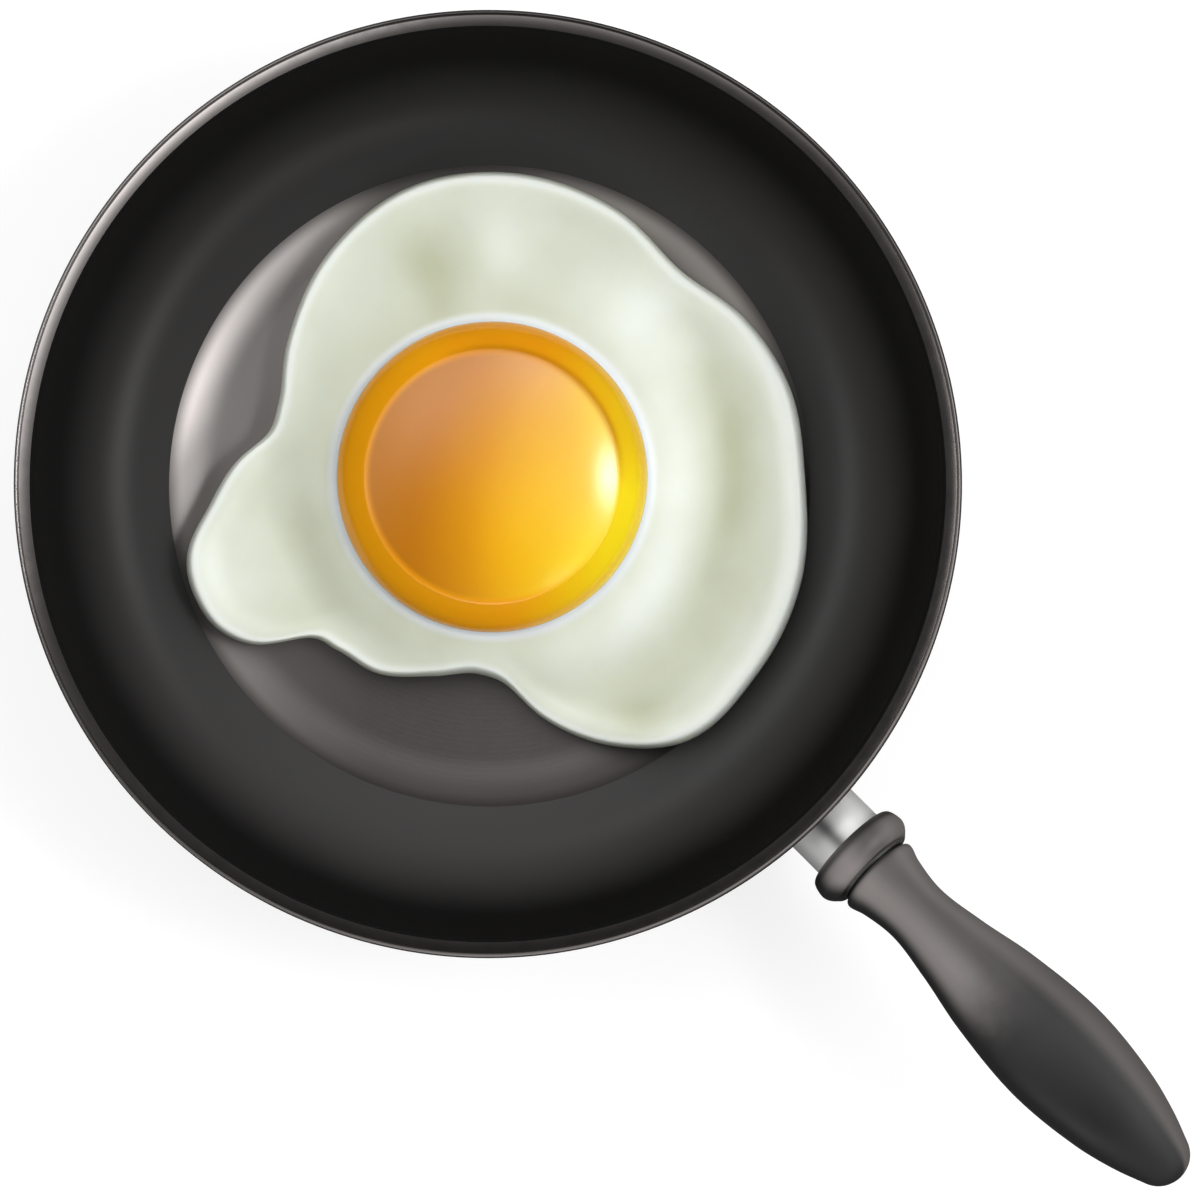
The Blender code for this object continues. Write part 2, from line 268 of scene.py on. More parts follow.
enamel = new_finish("charcoal_enamel")
orange_peel = enamel.grain(1.1 * MM, detail=3.0)
enamel_flecks = enamel.grain(0.25 * MM, detail=1.0).rise(0.62, 0.78)
enamel.wear({
    "Base Color": enamel.mix(enamel_flecks * 0.5, ENAMEL, ENAMEL_FLECK),
    "Roughness": orange_peel * 0.14 + 0.34,
    "Normal": enamel.relief(orange_peel, 0.012 * MM),
})
add_piece("pan_pressing", turned(pressing_profile), enamel.owner, "pan_body")

# ---------------------------------------------------------------- base plate
# The underside is faced on a lathe so that it stands flat on the hob: bare aluminium with a
# fan of shallow concentric grooves that the tool leaves.

GROOVE_PITCH = 2.4 * MM
GROOVE_WIDTH = 0.9 * MM
GROOVE_DEPTH = 0.22 * MM
GROOVE_BEVEL = 0.12 * MM
TOOL_LINE_PITCH = 0.28 * MM
PLATE_INSET = 0.1 * MM
PLATE_CORNER = 0.3 * MM
FACED_CLEAN = (0.56, 0.55, 0.54)
FACED_SCUFFED = (0.30, 0.28, 0.26)


def distance_from_axis(finish, centre=(0.0, 0.0)):
    x, y, _ = finish.axes()
    x = x - centre[0]
    y = y - centre[1]
    return (x * x + y * y) ** 0.5


plate_profile = [Vector((0.0, PLATE_RECESS + PLATE_INSET))]
plate_profile.append(Vector((PLATE_RADIUS - PLATE_INSET, PLATE_RECESS + PLATE_INSET)))
plate_profile.append(Vector((PLATE_RADIUS - PLATE_INSET, PLATE_INSET)))
plate_profile.append(Vector((PLATE_RADIUS - PLATE_CORNER, 0.0)))
groove_count = int(PLATE_RADIUS / GROOVE_PITCH) - 1
for groove in range(groove_count, 0, -1):
    middle = groove * GROOVE_PITCH
    half = GROOVE_WIDTH / 2
    plate_profile.append(Vector((middle + half, 0.0)))
    plate_profile.append(Vector((middle + half - GROOVE_BEVEL, GROOVE_DEPTH)))
    plate_profile.append(Vector((middle - half + GROOVE_BEVEL, GROOVE_DEPTH)))
    plate_profile.append(Vector((middle - half, 0.0)))
plate_profile.append(Vector((0.0, 0.0)))

faced = new_finish("faced_aluminium")
tool_lines = distance_from_axis(faced).wave(TOOL_LINE_PITCH)
scuffs = faced.grain(7 * MM, detail=5.0, roughness=0.7)
faced.wear({
    "Base Color": faced.mix(scuffs.rise(0.4, 0.75), FACED_CLEAN, FACED_SCUFFED),
    "Metallic": 1.0,
    "Roughness": scuffs * 0.3 + 0.22,
    "Anisotropic": 0.5,
    "Anisotropic Rotation": 0.25,
    "Normal": faced.relief(tool_lines, 0.006 * MM),
})
add_piece("base_plate", turned(plate_profile), faced.owner, "pan_body")

# ---------------------------------------------------------------- non-stick wall
# Inside, the wall carries a sprayed and baked non-stick coat that wraps over the lip's inner
# corner. Painted shade makes it blackest there; painted light greys it lower down, most on the
# handle's side, and a turner's edge has burnished a faint line on its two sides.

LINING = 0.2 * MM
# The coat's colours: near black for the painted shade under the rim, then a lit and a shaded side
# tone of painted light.
COAT_RIM_SHADE = (0.0040, 0.0037, 0.0037)
COAT_LIT_SIDE = (0.067, 0.0651, 0.0644)
COAT_SHADED_SIDE = (0.033, 0.0318, 0.0314)
SHADE_START_LEVEL = 5.0 * MM
SHADE_FULL_LEVEL = 20.5 * MM
BURNISH_RADIUS = 55.0 * MM
BURNISH_WIDTH = 1.8 * MM
BURNISH_HEADING = 204.0
BURNISH_OFFSET = 0.9 * MM
LAND_HEIGHT = 30.93 * MM
LAND_CORNER = 0.45 * MM
CORNER_ANGLE = 176.0
CORNER_STEPS = 8


def towards(finish, heading, radius, centre=(0.0, 0.0)):
    """How far a point lies towards a heading, from -1 to 1 within a radius."""
    x, y, _ = finish.axes()
    way = heading_vector(heading) / radius
    return (x - centre[0]) * way.x + (y - centre[1]) * way.y


corner_centre = Vector((WALL_END.x + LAND_CORNER, LAND_HEIGHT - LAND_CORNER))
coat_line = WALL + arc(corner_centre, LAND_CORNER, CORNER_ANGLE, 90.0, CORNER_STEPS)
wall_profile = list(coat_line)
wall_profile.append(coat_line[-1] - Vector((0.0, LINING)))
wall_profile += reversed(moved_out(coat_line, LINING))
wall_profile.append(WALL_START - Vector((0.0, LINING)))

coat = new_finish("non_stick_coat")
peel = coat.grain(0.8 * MM, detail=3.0, roughness=0.6)
drift = coat.grain(16 * MM, detail=3.0)
coat_x, _, coat_height = coat.axes()
# Painted light: the coat is lighter on the handle's side and darker on the far side.
side_lit_tone = coat.mix(coat_x.rise(-RIM_RADIUS, RIM_RADIUS), COAT_SHADED_SIDE, COAT_LIT_SIDE)
# Painted shade: the coat darkens to near black towards the rim.
rim_shade_share = (coat_height + drift * 1.2 * MM).rise(SHADE_START_LEVEL, SHADE_FULL_LEVEL)
burnish_centre = heading_vector(BURNISH_HEADING) * BURNISH_OFFSET
from_burnish = distance_from_axis(coat, burnish_centre) - BURNISH_RADIUS
burnish_side = towards(coat, BURNISH_HEADING, BURNISH_RADIUS)
burnish = from_burnish.bell(BURNISH_WIDTH) * burnish_side * burnish_side
coat.wear({
    "Base Color": coat.mix(rim_shade_share, side_lit_tone, COAT_RIM_SHADE),
    "Roughness": 0.78 + drift * 0.08 + peel * 0.06,
    "Specular IOR Level": 0.1,
    "Coat Weight": burnish * 0.5,
    "Coat Roughness": 0.36,
    "Normal": coat.relief(peel, 0.006 * MM),
})
wall_mesh = turned(wall_profile, ring=True)
add_piece("non_stick_wall", wall_mesh, coat.owner, "pan_body")

# ---------------------------------------------------------------- floor disc
# The floor is a spun disc of bare hard-anodised metal, dished at its edge to meet the wall.
# The lathe leaves fine rings that draw every light out into a bright fan. Painted light makes
# the disc paler on one side and its edge lighter on one side, with painted highlights on two
# sides, and painted shade darkens it where it meets the wall.

SPUN_GREY = (0.225, 0.210, 0.204)
SPUN_LIT = (0.36, 0.336, 0.327)
FLOOR_EDGE_SHADED = (0.10, 0.093, 0.091)
FLOOR_EDGE_LIT = (0.32, 0.299, 0.291)
FLOOR_EDGE_HIGHLIGHT = (0.85, 0.794, 0.773)
FLOOR_CORNER_SHADE = (0.03, 0.027, 0.026)
RING_PITCH = 0.36 * MM
BROAD_RING_PITCH = 0.83 * MM
SPUN_LIT_SIDE = 212.0
FLOOR_EDGE_LIT_SIDE = 185.0
# Heading, the share of the way out towards it where the painted highlight starts, and its
# strength.
FLOOR_HIGHLIGHT_SIDES = ((188.0, 0.80, 1.0), (90.0, 0.70, 0.6))

floor_profile = list(FLOOR)
floor_profile.append(WALL_START - Vector((0.0, LINING)))
floor_profile += reversed(moved_out(FLOOR, LINING))
floor_profile.append(Vector((0.0, FLOOR_HEIGHT - LINING)))

spun = new_finish("spun_floor")
spun_radius = distance_from_axis(spun)
spun_rings = spun_radius.wave(RING_PITCH) * 0.6 + spun_radius.wave(BROAD_RING_PITCH) * 0.4
spun_drift = spun.grain(9 * MM, detail=4.0)
edge_share = spun_radius.rise(FLAT_RADIUS, FLOOR_RADIUS - 1.5 * MM)
# Painted light and shade: the dished edge is lighter towards one side, darker away from it.
edge_lit_share = (towards(spun, FLOOR_EDGE_LIT_SIDE, FLOOR_RADIUS) + spun_drift * 0.1).rise(-0.3, 0.5)
edge_tone = spun.mix(edge_lit_share, FLOOR_EDGE_SHADED, FLOOR_EDGE_LIT)
# Painted highlights on two sides of the edge.
for side, start, strength in FLOOR_HIGHLIGHT_SIDES:
    highlight_share = (towards(spun, side, FLOOR_RADIUS) + spun_drift * 0.06).rise(start, 0.98)
    edge_tone = spun.mix(highlight_share * strength, edge_tone, FLOOR_EDGE_HIGHLIGHT)
# Painted shade where the floor meets the wall.
corner_shade_share = spun_radius.rise(FLOOR_RADIUS - 2.2 * MM, FLOOR_RADIUS + 0.3 * MM)
# Painted light: the flat of the disc is paler towards one side.
spun_lit_share = towards(spun, SPUN_LIT_SIDE, FLOOR_RADIUS).rise(0.1, 0.8)
floor_tone = spun.mix(edge_share, spun.mix(spun_lit_share, SPUN_GREY, SPUN_LIT), edge_tone)
spun.wear({
    "Base Color": spun.mix(corner_shade_share * 0.75, floor_tone, FLOOR_CORNER_SHADE),
    "Metallic": 1.0,
    "Roughness": spun_drift * 0.06 + edge_share * 0.18 + 0.30,
    "Anisotropic": 0.65,
    "Anisotropic Rotation": 0.25,
    "Normal": spun.relief(spun_rings, 0.002 * MM),
})
add_piece("floor_disc", turned(floor_profile), spun.owner, "pan_body")

# ---------------------------------------------------------------- lip
# Beyond the coat the wall's top edge is turned bare: a crowned land, a fine line cut round
# it, and a rounded outer bead. Heat has browned it, and a painted highlight lightens one side.

LIP_HIGHLIGHT_TONE = (0.45, 0.420, 0.408)
LIP_BROWNED = (0.14, 0.130, 0.126)
LIP_HIGHLIGHT_SIDE = 192.0
LAND_START = coat_line[-1] + Vector((0.05 * MM, 0.0))
LAND_END = Vector((69.2 * MM, 30.75 * MM))
LAND_END_ANGLE = -14.0
LAND_STEPS = 12
LINE_WIDTH = 0.22 * MM
LINE_DEPTH = 0.12 * MM
BEAD_RADIUS = 0.62 * MM
BEAD_CENTRE = Vector((RIM_RADIUS - BEAD_RADIUS, LAND_END.y - BEAD_RADIUS))
BEAD_START_ANGLE = 68.0
BEAD_END_ANGLE = -60.0
BEAD_STEPS = 16
LIP_UNDERSIDE = Vector((68.2 * MM, 28.2 * MM))
LIP_UNDER_ANGLE = -120.0
LIP_UNDER_STEPS = 6

lip_profile = [LAND_START]
lip_profile += bent_line(LAND_START, 0.0, LAND_END, LAND_END_ANGLE, LAND_STEPS)
lip_profile.append(LAND_END + Vector((LINE_WIDTH * 0.35, -LINE_DEPTH)))
lip_profile.append(LAND_END + Vector((LINE_WIDTH * 0.75, -LINE_DEPTH)))
lip_profile += arc(BEAD_CENTRE, BEAD_RADIUS, BEAD_START_ANGLE, BEAD_END_ANGLE, BEAD_STEPS)
lip_profile += bent_line(
    lip_profile[-1], LIP_UNDER_ANGLE, LIP_UNDERSIDE, 180.0, LIP_UNDER_STEPS,
)
lip_profile.append(Vector((LAND_START.x, LIP_UNDERSIDE.y)))

lip_metal = new_finish("lip_metal")
lip_place = lip_metal.moved((0, 0, 0), (1.0, 1.0, 6.0))
lip_streaks = lip_metal.grain(2.5 * MM, detail=4.0, place=lip_place)
# Painted highlight: the lip's colour is lighter towards one side.
lip_highlight = (towards(lip_metal, LIP_HIGHLIGHT_SIDE, RIM_RADIUS) - lip_streaks * 0.2).rise(0.45, 0.90)
lip_metal.wear({
    "Base Color": lip_metal.mix(lip_highlight, LIP_BROWNED, LIP_HIGHLIGHT_TONE),
    "Metallic": 1.0,
    "Roughness": lip_streaks * 0.08 + 0.20,
    "Anisotropic": 0.3,
    "Anisotropic Rotation": 0.25,
    "Normal": lip_metal.relief(lip_streaks, 0.002 * MM),
})
add_piece("rolled_lip", turned(lip_profile, ring=True), lip_metal.owner, "pan_body")

# ---------------------------------------------------------------- ferrule
# An oval stainless tube, cut to the curve of the pan's side, keeps the flame off the grip. It
# is rolled from strip, scouring has dulled it to satin, and a dark stripe along its top is a
# painted reflection. A bolt through it draws grip, collar and tube together.

AXIS_START = 62.0 * MM
AXIS_HEIGHT = 18.2 * MM
AXIS_SLOPE = 16.0
AXIS_END_SLOPE = 8.0
GRIP_TIP = 144.2 * MM
FERRULE_WIDTH = 12.2 * MM
FERRULE_THICKNESS = 9.6 * MM
FERRULE_END = 75.9 * MM
FERRULE_STEPS = 24
HANDLE_SIDES = 96
SIDE_GAP = 0.1 * MM
HALVINGS = 30


def wrapped(columns, rows, place, mark=None):
    """Wrap a grid into a closed body: columns run round it, rows from one pole to the other."""
    bm = bmesh.new()
    bmesh.ops.create_grid(bm, x_segments=columns, y_segments=rows, size=0.5)
    marks = bm.verts.layers.float.new("mark")
    for vert in bm.verts:
        column = round((vert.co.x + 0.5) * columns) % columns
        row = round((vert.co.y + 0.5) * rows)
        vert.co = place(column, row)
        vert[marks] = mark(column, row) if mark else 0.0
    return bm


def axis_point(distance):
    """A point on the handle's centre line, and its slope there in radians."""
    share = (distance - AXIS_START) / (GRIP_TIP - AXIS_START)
    slope = math.radians(AXIS_SLOPE + (AXIS_END_SLOPE - AXIS_SLOPE) * share)
    mean = math.radians(AXIS_SLOPE + (AXIS_END_SLOPE - AXIS_SLOPE) * share / 2)
    return Vector((distance, 0.0, AXIS_HEIGHT + math.tan(mean) * (distance - AXIS_START))), slope


def oval_point(station, column, seam=0.0):
    """A point on the oval section at a station of distance, width and thickness."""
    distance, width, thickness = station
    centre, slope = axis_point(distance)
    angle = math.tau * column / HANDLE_SIDES
    side = math.cos(angle) * (width / 2 + seam)
    lift = math.sin(angle) * thickness / 2
    return centre + Vector((-lift * math.sin(slope), side, lift * math.cos(slope)))


side_line = moved_out(WALL, WALL_THICKNESS)


def pan_side(height):
    """Distance from the pan's centre to its outside at a height."""
    return float(np.interp(height, [p.y for p in side_line], [p.x for p in side_line]))


def ferrule_start(column):
    """Where the tube's cut end meets the pan's side in one column, found by halving."""
    near, far = AXIS_START, FERRULE_END
    for _ in range(HALVINGS):
        middle = (near + far) / 2
        point = oval_point((middle, FERRULE_WIDTH, FERRULE_THICKNESS), column)
        if math.hypot(point.x, point.y) < pan_side(point.z) + SIDE_GAP:
            near = middle
        else:
            far = middle
    return far


ferrule_starts = [ferrule_start(column) for column in range(HANDLE_SIDES)]


def ferrule_place(column, row):
    if row == 0:
        centre = axis_point(AXIS_START)[0]
        return Vector((pan_side(centre.z) + SIDE_GAP, 0.0, centre.z))
    if row == FERRULE_STEPS + 2:
        return axis_point(FERRULE_END)[0]
    share = (row - 1) / FERRULE_STEPS
    distance = ferrule_starts[column] + (FERRULE_END - ferrule_starts[column]) * share
    return oval_point((distance, FERRULE_WIDTH, FERRULE_THICKNESS), column)


STEEL_BRIGHT = (0.97, 0.97, 0.96)
STEEL_SMEARED = (0.88, 0.88, 0.87)
STEEL_DARK_REFLECTION = (0.12, 0.12, 0.12)
DARK_REFLECTION_SIDE = -0.75 * MM
DARK_REFLECTION_REACH = 1.2 * MM

steel = new_finish("satin_steel")
brushing = steel.grain(0.5 * MM, detail=3.0, place=steel.moved((0, 0, 0), (0.06, 1.0, 1.0)))
smears = steel.grain(4 * MM, detail=3.0)
steel_tone = steel.mix(smears, STEEL_BRIGHT, STEEL_SMEARED)
# Painted reflection: a dark stripe along the tube's top.
dark_reflection = (steel.axes()[1] - DARK_REFLECTION_SIDE).bell(DARK_REFLECTION_REACH) * 0.9
steel.wear({
    "Base Color": steel.mix(dark_reflection, steel_tone, STEEL_DARK_REFLECTION),
    "Metallic": 0.45,
    "Roughness": brushing * 0.06 + smears * 0.08 + 0.36,
    "Normal": steel.relief(brushing, 0.0015 * MM),
})
ferrule_mesh = wrapped(HANDLE_SIDES, FERRULE_STEPS + 2, ferrule_place)
add_piece("ferrule_tube", ferrule_mesh, steel.owner, "ferrule")

# ---------------------------------------------------------------- collar
# A flared ring of the same moulded phenolic as the grip seats on the ferrule's end. A painted
# highlight lightens both near the pan and fades down the grip, painted light lightens the faces
# to one side, and the edge facing the other side stays dark as painted shade. Painted shade
# blackens the ring's front edge and the gap that parts it from the grip.

# Distance from the pan's centre, then the oval's width and thickness there.
COLLAR_PROFILE = (
    (76.0 * MM, 14.3 * MM, 11.6 * MM), (76.1 * MM, 14.9 * MM, 12.3 * MM),
    (76.4 * MM, 15.5 * MM, 12.9 * MM), (77.3 * MM, 16.15 * MM, 13.5 * MM),
    (78.4 * MM, 16.4 * MM, 13.8 * MM), (79.0 * MM, 16.1 * MM, 13.5 * MM),
    (79.7 * MM, 15.2 * MM, 12.7 * MM), (80.2 * MM, 14.2 * MM, 11.8 * MM),
    (80.55 * MM, 13.4 * MM, 11.1 * MM), (80.65 * MM, 11.8 * MM, 9.6 * MM),
    (81.0 * MM, 11.4 * MM, 9.3 * MM),
)
COLLAR_STEPS = 56
PHENOLIC_DARK = (0.010, 0.0092, 0.0090)
PHENOLIC_HIGHLIGHT = (0.235, 0.213, 0.206)
GROOVE_SHADE = (0.001, 0.0009, 0.0009)
# Distance from the pan's centre, how far the painted shade spreads, and its strength.
SHADE_LINES = ((76.8 * MM, 0.6 * MM, 0.75), (81.1 * MM, 0.6 * MM, 1.0))
PAINTED_HIGHLIGHT_START = 101.0 * MM
PAINTED_HIGHLIGHT_END = 116.0 * MM
LIT_SIDE_SHARE = 0.4
SCUFF_START = 128.0 * MM
SCUFF_END = 141.0 * MM
HANDLE_FLATNESS = 0.75


def smooth_curve(at, values, query):
    """A smooth curve through values, at steps that need not be even."""
    rise = np.diff(values) / np.diff(at)
    slope = np.concatenate(([rise[0]], (rise[1:] + rise[:-1]) / 2, [rise[-1]]))
    return hermite(at, values, slope, query)


def hermite(at, values, slope, query):
    index = np.clip(np.searchsorted(at, query, side="right") - 1, 0, len(at) - 2)
    span = at[index + 1] - at[index]
    share = (query - at[index]) / span
    start = values[index] * (1 + 2 * share) + slope[index] * span * share
    end = values[index + 1] * (3 - 2 * share) - slope[index + 1] * span * (1 - share)
    return start * (1 - share) ** 2 + end * share ** 2


def side_facing(column, row):
    """How squarely a column of the oval faces the handle's left side, from -1 to 1."""
    angle = math.tau * column / HANDLE_SIDES
    return math.cos(angle) / math.hypot(math.cos(angle), math.sin(angle) / HANDLE_FLATNESS)


def oval_body(profile, steps, tip=(), seam=None):
    """A closed body through oval stations of distance, width and thickness."""
    table = np.array(profile)
    steps_along = np.hypot(np.diff(table[:, 0]), np.diff(table[:, 1]))
    length = np.concatenate(([0.0], np.cumsum(steps_along)))
    query = np.linspace(0.0, length[-1], steps + 1)
    columns = [smooth_curve(length, values, query) for values in table.T]
    stations = [tuple(row) for row in np.stack(columns, axis=1)] + list(tip)
    last = len(stations) + 1

    def place(column, row):
        if row in (0, last):
            return axis_point(stations[0][0] if row == 0 else stations[-1][0])[0]
        ridge = seam(column, stations[row - 1]) if seam else 0.0
        return oval_point(stations[row - 1], column, ridge)

    return wrapped(HANDLE_SIDES, last, place, side_facing)


phenolic = new_finish("moulded_phenolic")
grip_x, grip_y, grip_z = phenolic.axes()
mottle = phenolic.grain(5 * MM, detail=4.0)
# Painted highlight and painted light: lighter near the pan and on faces to one side, dark on the
# edge facing the other side.
painted_light = 1.0 - (grip_x + mottle * 6 * MM).rise(PAINTED_HIGHLIGHT_START, PAINTED_HIGHLIGHT_END)
painted_light = painted_light * (1.0 - grip_y.rise(-2.5 * MM, 2.2 * MM) * 0.72)
sideways = phenolic.node("ShaderNodeAttribute", {"attribute_name": "mark"}, output="Fac")
painted_light = painted_light * sideways.rise(-0.85, -0.45)
painted_light = painted_light + (1.0 - painted_light) * sideways.rise(0.35, 0.65) * LIT_SIDE_SHARE
phenolic_tone = phenolic.mix(painted_light, PHENOLIC_DARK, PHENOLIC_HIGHLIGHT)
# Painted shade: dark lines at the ring's front edge and in the gap before the grip.
for middle, reach, strength in SHADE_LINES:
    centre, slope = axis_point(middle)
    from_line = (grip_x - centre.x) * math.cos(slope) + (grip_z - centre.z) * math.sin(slope)
    phenolic_tone = phenolic.mix(from_line.bell(reach) * strength, phenolic_tone, GROOVE_SHADE)
scuffed = grip_x.rise(SCUFF_START, SCUFF_END)
skin = phenolic.grain(0.35 * MM, detail=2.0)
rubbed = phenolic.grain(11 * MM, detail=5.0, roughness=0.65).rise(0.52, 0.78)
phenolic.wear({
    "Base Color": phenolic_tone,
    "Roughness": 0.44 - rubbed * 0.05 + skin * 0.05 + scuffed * 0.2,
    "Specular IOR Level": 0.5,
    "Normal": phenolic.relief(skin, 0.003 * MM),
})
collar_mesh = oval_body(COLLAR_PROFILE, COLLAR_STEPS)
add_piece("flared_collar", collar_mesh, phenolic.owner, "handle_collar")

# ---------------------------------------------------------------- grip
# The grip is moulded in two halves of a hot die, so a hair-fine seam runs down each side.
# It has a thin neck, swells for the palm and ends in a round tip.

GRIP_PROFILE = (
    (81.1 * MM, 11.2 * MM, 9.1 * MM), (81.5 * MM, 11.4 * MM, 9.3 * MM),
    (81.55 * MM, 12.4 * MM, 10.2 * MM), (82.0 * MM, 12.7 * MM, 10.5 * MM),
    (84.4 * MM, 11.3 * MM, 9.6 * MM), (89.6 * MM, 9.9 * MM, 8.8 * MM),
    (96.8 * MM, 11.8 * MM, 9.5 * MM), (106.0 * MM, 15.4 * MM, 11.4 * MM),
    (118.8 * MM, 17.7 * MM, 13.0 * MM), (130.4 * MM, 15.3 * MM, 11.8 * MM),
    (136.6 * MM, 12.1 * MM, 9.8 * MM), (141.2 * MM, 8.64 * MM, 7.1 * MM),
)
TIP_RADIUS = 4.6 * MM
TIP_START_ANGLE = 20.0
TIP_FLATNESS = 0.82
GRIP_STEPS = 140
TIP_STEPS = 18
SEAM_HEIGHT = 0.06 * MM
SEAM_END_WIDTH = 4.0 * MM

grip_tip = []
for step in range(1, TIP_STEPS + 1):
    turn = math.radians(TIP_START_ANGLE + (90.0 - TIP_START_ANGLE) * step / TIP_STEPS)
    width = 2 * TIP_RADIUS * max(math.cos(turn), 0.0)
    reach = GRIP_TIP - TIP_RADIUS * (1 - math.sin(turn))
    grip_tip.append((reach, width, width * TIP_FLATNESS))


def die_seam(column, station):
    """The seam's ridge, in the column on each side of the grip, up to its narrow tip."""
    on_side = column in (0, HANDLE_SIDES // 2)
    return SEAM_HEIGHT if on_side and station[1] > SEAM_END_WIDTH else 0.0


grip_mesh = oval_body(GRIP_PROFILE, GRIP_STEPS, grip_tip, die_seam)
add_piece("grip", grip_mesh, phenolic.owner, "handle_grip", crease=60.0)

# ---------------------------------------------------------------- egg yolk
# The yolk is a bag of thick liquid in a thin clear skin. It sits as a shallow dome, and a
# crease round it shows where the white holds the skin up in a fuller shoulder. Its colour
# carries painted light: yellower on the lit side, deeper orange on the far one, a painted
# reflection on its top, and painted shade along one side of the crease and round its edge.

YOLK_CENTRE = Vector((-0.6 * MM, 1.2 * MM))
YOLK_RADIUS = 23.25 * MM
YOLK_EQUATOR = 7.6 * MM
YOLK_RISE = 8.9 * MM
YOLK_DEPTH = 6.2 * MM
DOME_RADIUS = 19.0 * MM
DOME_EDGE_ANGLE = 22.0
SHOULDER_ANGLE = 38.0
CREASE_REACH = 0.15 * MM
DOME_STEPS = 48
SHOULDER_STEPS = 24
BELLY_STEPS = 20
YOLK_SIDES = 200

equator = FLOOR_HEIGHT + YOLK_EQUATOR
yolk_top = Vector((0.0, equator + YOLK_RISE))
dome_drop = DOME_RADIUS * math.tan(math.radians(DOME_EDGE_ANGLE / 2))
dome_edge = Vector((DOME_RADIUS, yolk_top.y - dome_drop))
shoulder = dome_edge + heading_vector(-SHOULDER_ANGLE) * CREASE_REACH
yolk_profile = [yolk_top]
yolk_profile += bent_line(yolk_top, 0.0, dome_edge, -DOME_EDGE_ANGLE, DOME_STEPS)
yolk_profile.append(shoulder)
yolk_profile += bent_line(shoulder, -SHOULDER_ANGLE, (YOLK_RADIUS, equator), -90.0, SHOULDER_STEPS)
for step in range(1, BELLY_STEPS + 1):
    angle = math.pi / 2 * step / BELLY_STEPS
    drop = equator - YOLK_DEPTH * math.sin(angle)
    yolk_profile.append(Vector((max(YOLK_RADIUS * math.cos(angle), 0.0), drop)))
yolk_profile[-1].x = 0.0

DOME_SHADED = (0.57, 0.200, 0.004)
DOME_GOLD = (0.84, 0.390, 0.008)
DOME_LIT = (1.0, 0.64, 0.010)
BAND_SHADED = (0.98, 0.400, 0.004)
BAND_LIT = (1.0, 0.77, 0.012)
CREASE_SHADE = (0.52, 0.185, 0.003)
CREASE_RADIUS = DOME_RADIUS + 0.2 * MM
CREASE_WIDTH = 0.6 * MM
DOME_LIT_SIDE = 30.0
BAND_LIT_SIDE = 38.0
YOLK_SHADED_SIDE = 100.0
DOME_REFLECTION = (0.78, 0.44, 0.27)
DOME_REFLECTION_SIDE = 92.0
YOLK_EDGE_SHADE = (0.70, 0.26, 0.004)

yolk_mesh = turned(yolk_profile, YOLK_SIDES, YOLK_CENTRE)
yolk_finish = new_finish("yolk")
from_axis = distance_from_axis(yolk_finish, YOLK_CENTRE)
yolk_cloud = yolk_finish.grain(11 * MM, detail=3.0)
yolk_dimples = yolk_finish.grain(3.5 * MM, detail=2.0)
from_middle = from_axis / YOLK_RADIUS
# Painted light: the dome is yellower towards one side and deeper orange away from it.
dome_light = towards(yolk_finish, DOME_LIT_SIDE, YOLK_RADIUS, YOLK_CENTRE)
dome_light = dome_light - from_middle * from_middle * 0.25 + (yolk_cloud - 0.5) * 0.10
dome_tone = yolk_finish.mix(dome_light.rise(-0.55, 0.25), DOME_SHADED, DOME_GOLD)
dome_tone = yolk_finish.mix(dome_light.rise(-0.15, 0.65), dome_tone, DOME_LIT)
# Painted light on the band towards one side, painted shade on its far side.
band_light = towards(yolk_finish, BAND_LIT_SIDE, YOLK_RADIUS, YOLK_CENTRE)
band_tone = yolk_finish.mix(band_light.rise(0.15, 1.02), BAND_SHADED, BAND_LIT)
shaded_side = towards(yolk_finish, YOLK_SHADED_SIDE, YOLK_RADIUS, YOLK_CENTRE).rise(0.35, 0.75)
band_tone = yolk_finish.mix(shaded_side * 0.34, band_tone, CREASE_SHADE)
# Painted highlight: a yellow crescent on the lit side.
lit_crescent = band_light.rise(0.30, 0.75) * from_middle.rise(0.50, 0.80)
dome_tone = yolk_finish.mix(lit_crescent, dome_tone, BAND_LIT)
# Painted reflection on one side of the dome.
reflection_share = towards(yolk_finish, DOME_REFLECTION_SIDE, YOLK_RADIUS, YOLK_CENTRE).rise(-0.4, 0.9)
dome_tone = yolk_finish.mix(reflection_share * 0.3, dome_tone, DOME_REFLECTION)
on_band = from_axis.rise(DOME_RADIUS - 1.2 * MM, CREASE_RADIUS)
yolk_tone = yolk_finish.mix(on_band, dome_tone, band_tone)
# Painted shade along the crease, on one side.
crease = (from_axis - CREASE_RADIUS).bell(CREASE_WIDTH) * 0.6
# Painted shade: darker and oranger towards the outer edge all round.
edge_shade = from_axis.rise(YOLK_RADIUS - 2.0 * MM, YOLK_RADIUS - 0.6 * MM)
yolk_tone = yolk_finish.mix(crease * shaded_side, yolk_tone, CREASE_SHADE)
yolk_finish.wear({
    "Base Color": yolk_finish.mix(edge_shade * 0.25, yolk_tone, YOLK_EDGE_SHADE),
    "Roughness": 0.30 + yolk_cloud * 0.06,
    "Specular IOR Level": 0.1,
    "Subsurface Weight": 0.35,
    "Subsurface Radius": (1.0, 0.6, 0.15),
    "Subsurface Scale": 2.0 * MM,
    "Coat Weight": 1.0,
    "Coat Roughness": 0.08,
    "Coat IOR": 1.4,
    "Normal": yolk_finish.relief(yolk_dimples, 0.01 * MM),
})
add_piece("yolk", yolk_mesh, yolk_finish.owner, "egg_yolk", crease=60.0)

